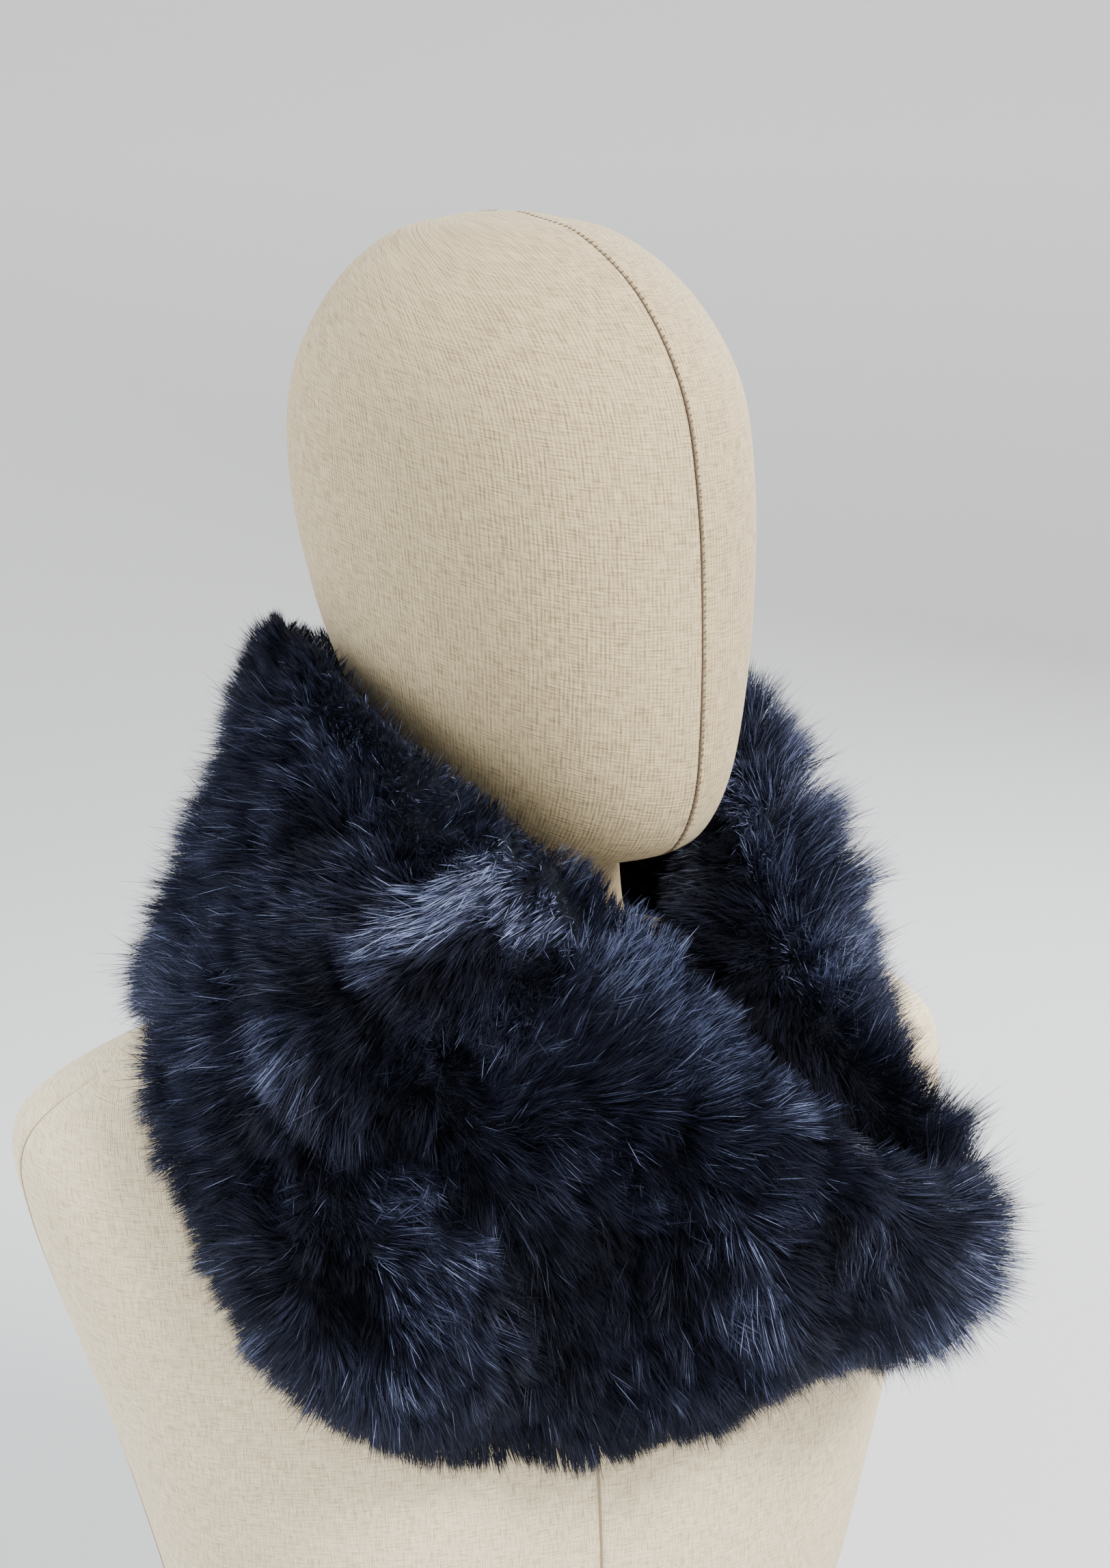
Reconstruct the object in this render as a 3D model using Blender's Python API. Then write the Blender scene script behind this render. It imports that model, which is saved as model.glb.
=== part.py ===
"""Faux fur neck gaiter on a limbless dress form: two fur panels, a torso, and a head with its neck.

Metres, +Z up. The form's front faces -Y, so its right shoulder is at -X. The origin is on the floor,
under the middle of the shoulders. The gaiter is a loop of doubled faux fur: its outer and inner panels
lie back to back on one seam surface and are sewn together along the rim (top) and the hem (bottom).
Tables are in millimetres, and mm() turns them into metres.
"""

import math

import bmesh
import bpy
import numpy as np
from mathutils import Matrix, Vector
from mathutils.bvhtree import BVHTree

# Driving sizes of the cloth, in metres
OUTER_PILE = 0.020  # reach of the outer panel, fabric and combed pile together
INNER_PILE = 0.011  # reach of the inner panel, whose pile is pressed by what it lies against
SEAM_GAP = 0.0003  # between the two panels, all over the seam surface
REST_GAP = 0.0004  # from the form to the cloth that rests on it
SEAM_CLEARANCE = 0.0075  # least distance of the seam surface from the form
EDGE_ROUND = 3.0  # how square the rim's and the hem's pile is: 2 is a half ellipse
NO_GAP = 1e-6  # nearer than this a point counts as on the form
RAY = Vector((0.31, 0.17, 0.94)).normalized()  # any direction that runs along no edge of the form

# How finely the shapes are cut into faces
STEPS_AROUND, STEPS_DOWN = 84, 13  # the cloth: round the loop, and from rim to hem
TORSO_STEPS, TORSO_SIDES = 20, 44
HEAD_STEPS, HEAD_SIDES = 30, 40

# The loop's sections, in order round it from the chin towards the form's left, in millimetres. Each is
# a smooth curve of the seam surface through three places: its rim (top edge), the middle of the cloth,
# and its hem (bottom edge). On the left shoulder the cloth is folded over: its rim is tucked down
# inside, by the neck, and the middle is the fold's crest.
SECTIONS = (
    # name            rim_x rim_y rim_z  mid_x mid_y mid_z  hem_x hem_y hem_z
    ("chin",             10, -116,  452,     0, -134,  350,    -8, -123,  254),
    ("below_chin",       40, -141,  414,    42, -150,  338,    42, -122,  257),
    ("front_left",       74, -152,  381,    82, -154,  322,    88, -114,  267),
    ("corner_front",    104, -151,  356,   118, -144,  316,   124, -107,  274),
    ("corner_tip",      126, -136,  342,   142, -124,  315,   144,  -92,  284),
    ("corner_back",     112, -114,  350,   142, -104,  336,   150,  -74,  308),
    ("left_chest",       74,  -90,  371,   108,  -86,  382,   134,  -54,  356),
    ("left_shoulder",    46,  -62,  400,   104,  -52,  416,   140,  -16,  396),
    ("left_trapezius",   76,  -16,  440,   118,   -8,  449,   138,   24,  397),
    ("back_left",       122,   38,  494,   134,   42,  446,   122,   68,  376),
    ("back_near_left",   68,   86,  502,    70,   98,  430,    60,   86,  352),
    ("nape",              0,   92,  508,     0,  104,  430,     0,   93,  350),
    ("back_right",      -54,   76,  520,   -66,   92,  436,   -66,   86,  356),
    ("right_nape",      -80,   34,  538,   -98,   50,  448,  -120,   56,  376),
    ("right_cheek",     -79,  -14,  543,  -101,   -6,  458,  -134,    4,  398),
    ("right_jaw",       -66,  -63,  526,  -107,  -60,  446,  -143,  -50,  372),
    ("right_chest",     -38,  -93,  500,   -96, -110,  396,  -121,  -93,  308),
    ("near_chin",       -12, -107,  475,   -48, -132,  370,   -76, -114,  266),
)

# The largest folds of the cloth: troughs (depth below 0) or ridges along a line on the seam surface
# from one place to another. A place is a section number of the table above, counted from 0, and a share
# of the way from rim to hem. width is from the fold's middle to where it has mostly died away.
FOLDS = (
    # name                  section_a down_a  section_b down_b  width depth
    ("streak_ridge",            15.75,  0.32,     16.60,  0.06,    24,    7),
    ("chin_ridge",              16.60,  0.14,     17.60,  0.02,    16,    5),
    ("cheek_hollow",            14.95,  0.12,     15.25,  0.34,    18,   -6),
    ("under_streak",            15.90,  0.46,     16.75,  0.24,    18,   -6),
    ("side_crease",             15.45,  0.76,     16.35,  0.50,    15,   -8),
    ("lobe_top_crease",         16.10,  0.55,     16.95,  0.58,    15,   -8),
    ("lobe_side_crease",        16.95,  0.58,     17.45,  0.95,    15,   -9),
    ("lobe",                    16.10,  0.84,     16.85,  0.84,    30,    8),
    ("middle_hollow",           17.30,  0.40,     17.95,  0.72,    26,   -6),
    ("front_crease",             0.10,  0.42,      1.30,  0.30,    16,   -7),
    ("front_ridge",              0.90,  0.36,      1.15,  0.80,    20,    6),
    ("left_crease",              1.60,  0.30,      2.10,  0.80,    20,   -7),
    ("corner_ridge",             2.70,  0.30,      3.20,  0.90,    22,    5),
    ("corner_fold",              4.40,  0.15,      5.30,  0.85,    16,   -6),
    ("shoulder_fold",            6.60,  0.80,      7.60,  0.55,    18,   -6),
    ("left_back_fold",           8.60,  0.30,      9.20,  0.95,    20,   -7),
    ("left_back_ridge",          9.50,  0.20,     10.00,  0.95,    22,    6),
    ("nape_crease",             10.50,  0.10,     10.80,  0.80,    18,   -7),
    ("nape_ridge",              11.30,  0.25,     11.20,  1.00,    24,    6),
    ("back_crease",             12.20,  0.15,     11.90,  0.75,    18,   -6),
    ("right_back_crease",       13.10,  0.35,     12.70,  0.95,    20,   -7),
    ("right_back_ridge",        13.60,  0.25,     13.50,  0.90,    22,    6),
    ("right_side_crease",       14.40,  0.45,     14.20,  1.00,    16,   -6),
)
FOLD_STEPS = 12  # places read along each fold's line
FOLD_FADE = 1.5  # how fast a fold dies away: at its width a tenth of its depth is left

# The dress form's torso, in level sections from the base up, in millimetres. front and back are depths
# from the middle of the shoulders; square is the section's roundness, 2 for an ellipse.
TORSO = (
    # height half_width front back square
    (  0, 126,  88,  80, 2.3),
    ( 60, 137, 100,  88, 2.3),
    (120, 149, 112,  94, 2.4),
    (180, 161, 118, 100, 2.4),
    (240, 175, 111, 104, 2.6),
    (290, 189,  98, 101, 2.8),
    (325, 198,  80,  90, 2.8),
    (350, 200,  64,  75, 2.7),
    (366, 188,  54,  66, 2.5),
    (380, 160,  50,  61, 2.3),
    (392, 120,  48,  58, 2.1),
    (402,  82,  48,  56, 2.0),
)

# The neck and head in level sections from the neck's foot up, in millimetres, before they turn. The
# foot is 0.3 mm above the torso's top. The sections lengthen at once from the neck to the chin, so the
# jaw's underside is nearly level.
HEAD = (
    # height half_width front back square
    (402.3, 65,  53,  77, 2.0),
    (412,   57,  45,  69, 2.0),
    (430,   53,  41,  65, 2.0),
    (456,   53,  41,  65, 2.0),
    (463,   53,  60,  65, 2.0),
    (468,   53,  85,  65, 2.0),
    (478,   54,  97,  66, 2.0),
    (496,   57, 104,  67, 2.1),
    (520,   65, 106,  72, 2.1),
    (556,   74, 106,  84, 2.1),
    (600,   79, 103,  93, 2.1),
    (640,   77,  94,  89, 2.1),
    (672,   64,  72,  71, 2.0),
    (692,   42,  42,  46, 2.0),
    (700,   16,  14,  20, 2.0),
)
HEAD_TURN = math.radians(22.0)  # to the form's left
NECK_BACK = 0.012  # the axis that the head turns on, behind the middle of the shoulders

LINEN = (0.60, 0.53, 0.42, 1.0)
NAVY_FUR = (0.012, 0.016, 0.040, 1.0)


def mm(*values):
    return [value / 1000.0 for value in values]


def material(name, colour, roughness):
    made = bpy.data.materials.new(name)
    made.use_nodes = True
    shader = made.node_tree.nodes["Principled BSDF"]
    shader.inputs["Base Color"].default_value = colour
    shader.inputs["Roughness"].default_value = roughness
    shader.inputs["Metallic"].default_value = 0.0
    return made


def add_object(name, points, faces, finish):
    """A smooth-shaded object of these points and faces, with its faces turned to point out."""
    mesh = bpy.data.meshes.new(name)
    mesh.from_pydata([tuple(point) for point in points], [], faces)
    work = bmesh.new()
    work.from_mesh(mesh)
    bmesh.ops.recalc_face_normals(work, faces=work.faces)
    work.to_mesh(mesh)
    work.free()
    mesh.shade_smooth()
    mesh.materials.append(finish)
    made = bpy.data.objects.new(name, mesh)
    bpy.context.scene.collection.objects.link(made)
    return made


def smooth_rows(rows, at):
    """Rows of a table read at a fractional row number, on a smooth curve through them."""
    last = len(rows) - 1
    whole = min(int(at), last - 1)
    share = at - whole
    before, here = rows[max(whole - 1, 0)], rows[whole]
    there, after = rows[whole + 1], rows[min(whole + 2, last)]
    return catmull_rom(before, here, there, after, share)


def smooth_ring(rows, at):
    """The same for a table whose last row is followed by its first."""
    count = len(rows)
    whole = math.floor(at)
    picked = [rows[(whole + step) % count] for step in (-1, 0, 1, 2)]
    return catmull_rom(*picked, at - whole)


def catmull_rom(before, here, there, after, share):
    """The curve from here to there that leaves and arrives along its neighbours."""
    return 0.5 * (
        2.0 * here
        + (there - before) * share
        + (2.0 * before - 5.0 * here + 4.0 * there - after) * share**2
        + (3.0 * here - before - 3.0 * there + after) * share**3
    )


# ---- the dress form ----


def level_ring(height, half_width, front, back, square, sides):
    """A closed level outline whose front and back halves have their own depths."""
    middle = (back - front) / 2.0
    half_depth = (back + front) / 2.0
    ring = []
    for step in range(sides):
        turn = 2.0 * math.pi * step / sides
        across, along = math.sin(turn), -math.cos(turn)
        ring.append(
            (
                half_width * math.copysign(abs(across) ** (2.0 / square), across),
                middle + half_depth * math.copysign(abs(along) ** (2.0 / square), along),
                height,
            )
        )
    return ring


def level_loft(table, steps, sides):
    """Points and faces of a solid through level sections, closed flat at the top and the bottom."""
    rows = np.array([mm(*row[:-1]) + [row[-1]] for row in table])
    points, faces = [], []
    for step in range(steps + 1):
        row = smooth_rows(rows, (len(rows) - 1) * step / steps)
        points += level_ring(*row, sides)
    for step in range(steps):
        for side in range(sides):
            near, far = step * sides + side, step * sides + (side + 1) % sides
            faces.append((near, far, far + sides, near + sides))
    faces.append(tuple(range(sides)))
    faces.append(tuple(steps * sides + side for side in range(sides)))
    return points, faces


def build_torso(finish):
    points, faces = level_loft(TORSO, TORSO_STEPS, TORSO_SIDES)
    return add_object("form_torso", points, faces, finish)


def build_head(finish):
    """The head in one piece with its neck, which stands on the torso's top across a hair's gap."""
    points, faces = level_loft(HEAD, HEAD_STEPS, HEAD_SIDES)
    turn = Matrix.Translation((0.0, NECK_BACK, 0.0)) @ Matrix.Rotation(HEAD_TURN, 4, "Z")
    turn = turn @ Matrix.Translation((0.0, -NECK_BACK, 0.0))
    return add_object("form_head", [turn @ Vector(point) for point in points], faces, finish)


# ---- the cloth ----


def section_rows():
    return np.array([mm(*row[1:]) for row in SECTIONS])


def seam_point(rows, section, down):
    """A point of the seam surface: section goes round the loop, down from rim (0) to hem (1)."""
    row = smooth_ring(rows, section)
    rim, middle, hem = row[0:3], row[3:6], row[6:9]
    return (
        rim * (1.0 - down) * (1.0 - 2.0 * down)
        + middle * 4.0 * down * (1.0 - down)
        + hem * down * (2.0 * down - 1.0)
    )


def seam_grid():
    """The seam surface as an array [section, down] of points."""
    rows = section_rows()
    grid = np.empty((STEPS_AROUND, STEPS_DOWN + 1, 3))
    for around in range(STEPS_AROUND):
        section = len(SECTIONS) * around / STEPS_AROUND
        for step in range(STEPS_DOWN + 1):
            grid[around, step] = seam_point(rows, section, step / STEPS_DOWN)
    return grid


def folded(grid):
    """The grid with the table's troughs and ridges pressed into it."""
    rows = section_rows()
    height = np.zeros(grid.shape[:2])
    for _, section_a, down_a, section_b, down_b, width, depth in FOLDS:
        line = []
        for step in range(FOLD_STEPS + 1):
            share = step / FOLD_STEPS
            section = section_a + (section_b - section_a) * share
            line.append(seam_point(rows, section, down_a + (down_b - down_a) * share))
        away = np.linalg.norm(grid[:, :, None, :] - np.array(line)[None, None], axis=3).min(axis=2)
        height += depth / 1000.0 * np.exp(-((FOLD_FADE * away / (width / 1000.0)) ** 2))
    return grid + grid_normals(grid) * height[:, :, None]


def grid_normals(grid):
    """Unit normals of a grid that closes in its first direction, pointing out of the loop."""
    around = np.roll(grid, -1, axis=0) - np.roll(grid, 1, axis=0)
    down = np.gradient(grid, axis=1)
    normals = np.cross(down, around)
    return normals / np.linalg.norm(normals, axis=2, keepdims=True)


def pushed_clear(points, forms, clearance):
    """The points, with any that lie nearer to the form than the clearance moved straight off it."""
    moved = np.array(points, float)
    flat = moved.reshape(-1, 3)
    for number, point in enumerate(flat):
        for tree in forms:
            nearest, normal, _, gap = tree.find_nearest(Vector(point))
            inside = is_inside(tree, Vector(point))
            if inside or gap < clearance:
                off = normal if inside or gap < NO_GAP else (Vector(point) - nearest) / gap
                flat[number] = point = np.array(nearest + off * clearance)
    return moved


def is_inside(tree, point):
    """Whether a ray from the point leaves the closed surface an odd number of times."""
    hits = 0
    start = point
    while True:
        place = tree.ray_cast(start, RAY)[0]
        if place is None:
            return hits % 2 == 1
        hits += 1
        start = place + RAY * NO_GAP


def relaxed(grid, rounds):
    """The grid with its points eased towards their neighbours round the loop and down it."""
    for _ in range(rounds):
        around = (np.roll(grid, 1, axis=0) + np.roll(grid, -1, axis=0)) / 2.0
        eased = (grid + around) / 2.0
        eased[:, 1:-1] = (eased[:, 1:-1] * 2.0 + eased[:, :-2] + eased[:, 2:]) / 4.0
        grid = eased
    return grid


def pile_share(down):
    """How much of its full reach the pile has between rim and hem, round at both edges."""
    return max(0.0, 1.0 - abs(2.0 * down - 1.0) ** EDGE_ROUND) ** (1.0 / EDGE_ROUND)


def build_panel(name, grid, normals, side, reach, forms, finish):
    """One fur panel: a closed ring between the seam surface and its pile's reach. side is 1 for out."""
    columns = STEPS_DOWN + 1
    back = grid + normals * side * SEAM_GAP / 2.0
    shares = np.array([pile_share(step / STEPS_DOWN) for step in range(columns)])
    front = grid + normals * side * (SEAM_GAP / 2.0 + reach * shares)[None, :, None]
    front = pushed_clear(front, forms, REST_GAP)
    ring = np.concatenate([back, front[:, -2:0:-1]], axis=1)
    count = ring.shape[1]
    faces = []
    for around in range(STEPS_AROUND):
        here, there = around * count, (around + 1) % STEPS_AROUND * count
        for step in range(count):
            following = (step + 1) % count
            faces.append((here + step, there + step, there + following, here + following))
    return add_object(name, ring.reshape(-1, 3), faces, finish)


def surface_tree(made):
    """A search tree of an object's closed surface."""
    points = [point.co.copy() for point in made.data.vertices]
    return BVHTree.FromPolygons(points, [tuple(face.vertices) for face in made.data.polygons])


def main():
    for old in list(bpy.data.objects):
        bpy.data.objects.remove(old)
    linen = material("slubby_linen", LINEN, 0.9)
    fur = material("navy_faux_fur", NAVY_FUR, 0.55)
    torso = build_torso(linen)
    head = build_head(linen)
    bpy.context.view_layer.update()
    forms = [surface_tree(torso), surface_tree(head)]
    grid = folded(pushed_clear(seam_grid(), forms, SEAM_CLEARANCE))
    grid = pushed_clear(relaxed(grid, 1), forms, SEAM_CLEARANCE)
    normals = grid_normals(grid)
    build_panel("fur_outer_panel", grid, normals, 1.0, OUTER_PILE, forms, fur)
    build_panel("fur_inner_panel", grid, normals, -1.0, INNER_PILE, forms, fur)


main()
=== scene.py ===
"""Looks of the faux fur neck gaiter on its dress form: thin cloth shells covered in combed strands
of fur, linen covers on the form's torso and head with their seams, a floor, lights and the camera.

Metres, +Z up. The form's front faces -Y, so its right shoulder is at -X. Tables are in millimetres,
degrees and hundredths. A section number counts SECTIONS' rows round the loop, and down goes from
the rim (0) to the hem (100). The sections, folds and the form's levels are the solids' own.
"""

import math

import bpy
import numpy as np
from mathutils import Matrix, Vector
from mathutils.bvhtree import BVHTree
from mathutils.kdtree import KDTree


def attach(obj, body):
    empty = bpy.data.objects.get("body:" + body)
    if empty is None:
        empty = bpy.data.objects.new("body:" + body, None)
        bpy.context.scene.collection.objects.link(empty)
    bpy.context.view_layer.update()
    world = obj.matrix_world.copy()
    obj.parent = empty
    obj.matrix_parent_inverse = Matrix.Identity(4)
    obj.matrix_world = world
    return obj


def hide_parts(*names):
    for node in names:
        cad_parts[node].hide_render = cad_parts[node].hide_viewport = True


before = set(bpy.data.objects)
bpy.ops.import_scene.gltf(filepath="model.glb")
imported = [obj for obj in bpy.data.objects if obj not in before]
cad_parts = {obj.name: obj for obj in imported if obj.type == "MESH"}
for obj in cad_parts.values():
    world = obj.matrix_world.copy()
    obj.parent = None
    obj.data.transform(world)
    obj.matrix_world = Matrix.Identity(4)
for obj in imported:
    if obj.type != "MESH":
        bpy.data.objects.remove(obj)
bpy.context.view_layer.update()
WHOLE_TURN = 2.0 * math.pi

# ---- the camera: how far it stands from what it looks at, and from where ----
CAMERA_AIM = Vector((0.023, 0.0, 0.475))
CAMERA_DISTANCE = 0.85
CAMERA_AZIMUTH = math.radians(-20.0)  # to the form's right
CAMERA_ELEVATION = math.radians(17.0)
CAMERA_LENS, CAMERA_SENSOR = 48.0, 36.0

# ---- the cloth's seam surface, as in the solids ----
SEAM_CLEARANCE = 0.0075  # least distance of the seam surface from the form
FAR_FROM_FORM = 0.05  # points further off than this are left where they are
NO_GAP = 1e-6  # lengths and angles under this count as none
RAY = Vector((0.31, 0.17, 0.94)).normalized()  # in no plane of the form's faces
STEPS_AROUND, STEPS_DOWN = 84, 13

SECTIONS = (
    # name, rim x y z, middle x y z, hem x y z
    ("chin", 10, -116, 452, 0, -134, 350, -8, -123, 254),
    ("below_chin", 40, -141, 414, 42, -150, 338, 42, -122, 257),
    ("front_left", 74, -152, 381, 82, -154, 322, 88, -114, 267),
    ("corner_front", 104, -151, 356, 118, -144, 316, 124, -107, 274),
    ("corner_tip", 126, -136, 342, 142, -124, 315, 144, -92, 284),
    ("corner_back", 112, -114, 350, 142, -104, 336, 150, -74, 308),
    ("left_chest", 74, -90, 371, 108, -86, 382, 134, -54, 356),
    ("left_shoulder", 46, -62, 400, 104, -52, 416, 140, -16, 396),
    ("left_trapezius", 76, -16, 440, 118, -8, 449, 138, 24, 397),
    ("back_left", 122, 38, 494, 134, 42, 446, 122, 68, 376),
    ("back_near_left", 68, 86, 502, 70, 98, 430, 60, 86, 352),
    ("nape", 0, 92, 508, 0, 104, 430, 0, 93, 350),
    ("back_right", -54, 76, 520, -66, 92, 436, -66, 86, 356),
    ("right_nape", -80, 34, 538, -98, 50, 448, -120, 56, 376),
    ("right_cheek", -79, -14, 543, -101, -6, 458, -134, 4, 398),
    ("right_jaw", -66, -63, 526, -107, -60, 446, -143, -50, 372),
    ("right_chest", -38, -93, 500, -96, -110, 396, -121, -93, 308),
    ("near_chin", -12, -107, 475, -48, -132, 370, -76, -114, 266),
)

# Folds: from section and down, to section and down, width, depth
FOLDS = (
    # the pale streak, the chin and the right side
    (15.75, 32, 16.6, 6, 24, 7), (16.6, 14, 17.6, 2, 16, 5), (14.95, 12, 15.25, 34, 18, -6),
    (15.9, 46, 16.75, 24, 18, -6), (15.45, 76, 16.35, 50, 15, -8),
    # the lobe over the hem
    (16.1, 55, 16.95, 58, 15, -8), (16.95, 58, 17.45, 95, 15, -9), (16.1, 84, 16.85, 84, 30, 8),
    # the front
    (17.3, 40, 17.95, 72, 26, -6), (0.1, 42, 1.3, 30, 16, -7), (0.9, 36, 1.15, 80, 20, 6),
    (1.6, 30, 2.1, 80, 20, -7),
    # the corner and the left shoulder
    (2.7, 30, 3.2, 90, 22, 5), (4.4, 15, 5.3, 85, 16, -6), (6.6, 80, 7.6, 55, 18, -6),
    # the back, round to the right side
    (8.6, 30, 9.2, 95, 20, -7), (9.5, 20, 10, 95, 22, 6), (10.5, 10, 10.8, 80, 18, -7),
    (11.3, 25, 11.2, 100, 24, 6), (12.2, 15, 11.9, 75, 18, -6), (13.1, 35, 12.7, 95, 20, -7),
    (13.6, 25, 13.5, 90, 22, 6), (14.4, 45, 14.2, 100, 16, -6),
)
# Finer creases, of the thin cloth alone, in the same columns
CREASES = (
    # round the lobe
    (15.62, 88, 15.88, 67, 12, -4), (15.88, 67, 16.12, 53, 12, -5), (16.12, 53, 16.6, 50, 12, -6),
    (16.6, 50, 17.25, 61, 13, -8), (17.25, 61, 17.5, 78, 13, -8), (17.5, 78, 17.62, 98, 13, -6),
    # on the lobe
    (16.15, 64, 16.95, 66, 16, 5), (16.95, 66, 17.3, 85, 16, 6), (16.42, 74, 16.5, 82, 14, -6),
    # beside the front's ridge
    (0.7, 42, 0.96, 54, 12, -6), (0.96, 54, 1.16, 74, 12, -6), (0.88, 42, 1.14, 54, 12, 5),
    (1.14, 54, 1.36, 74, 12, 4),
    # elsewhere
    (14.6, 30, 15, 40, 13, -4), (14.7, 66, 15.4, 58, 13, -5), (2.3, 30, 2.55, 60, 14, -4),
    (7.3, 50, 7.8, 40, 13, -4), (10.1, 35, 10.3, 70, 14, -5), (11.7, 40, 12.5, 50, 14, -5),
)
CREASE_CLEARANCE = 0.0045  # least distance of a crease from the form
FOLD_STEPS = 12
FOLD_FADE = 1.5  # how sharply a fold ends at its width

# ---- the form's levels, as in the solids, with the crown closed and the base's edge eased ----
TORSO = (
    # height half_width front back square
    (0, 124.5, 86.5, 78.5, 2.3), (0.5, 125.8, 87.8, 79.8, 2.3), (60, 137, 100, 88, 2.3),
    (120, 149, 112, 94, 2.4), (180, 161, 118, 100, 2.4), (240, 175, 111, 104, 2.6),
    (290, 189, 98, 101, 2.8), (325, 198, 80, 90, 2.8), (350, 200, 64, 75, 2.7),
    (366, 188, 54, 66, 2.5), (380, 160, 50, 61, 2.3), (392, 120, 48, 58, 2.1),
    (402, 82, 48, 56, 2.0),
)
HEAD = (
    # height half_width front back square
    (402.3, 64, 52, 76, 2.0), (402.8, 65, 53, 77, 2.0), (412, 57, 45, 69, 2.0),
    (430, 53, 41, 65, 2.0), (456, 53, 41, 65, 2.0), (463, 53, 60, 65, 2.0),
    (468, 53, 85, 65, 2.0), (478, 54, 97, 66, 2.0), (496, 57, 104, 67, 2.1),
    (520, 65, 106, 72, 2.1), (556, 74, 106, 84, 2.1), (600, 79, 103, 93, 2.1),
    (640, 77, 94, 89, 2.1), (672, 64, 72, 71, 2.0), (692, 42, 42, 46, 2.0),
    (698.4, 18, 16, 22, 2.0), (699.8, 8, 7, 10, 2.0), (700, 1, 1, 1.4, 2.0),
)
HEAD_TURN = math.radians(22.0)  # about the neck's middle
NECK_BACK = 0.012  # which is this far behind the torso's

# ---- the fur ----
SHELL_THICKNESS = 0.0014  # the knitted backing that the pile grows from
SHELL_GAP = 0.0002  # from the seam surface to either backing
OUTER_STRANDS, INNER_STRANDS = 352000, 82000
SHELL_FINE = 2  # shell faces for each of the solids', each way
ROOT_FINE = 3  # steps that the strands are read at, for each shell face

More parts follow.
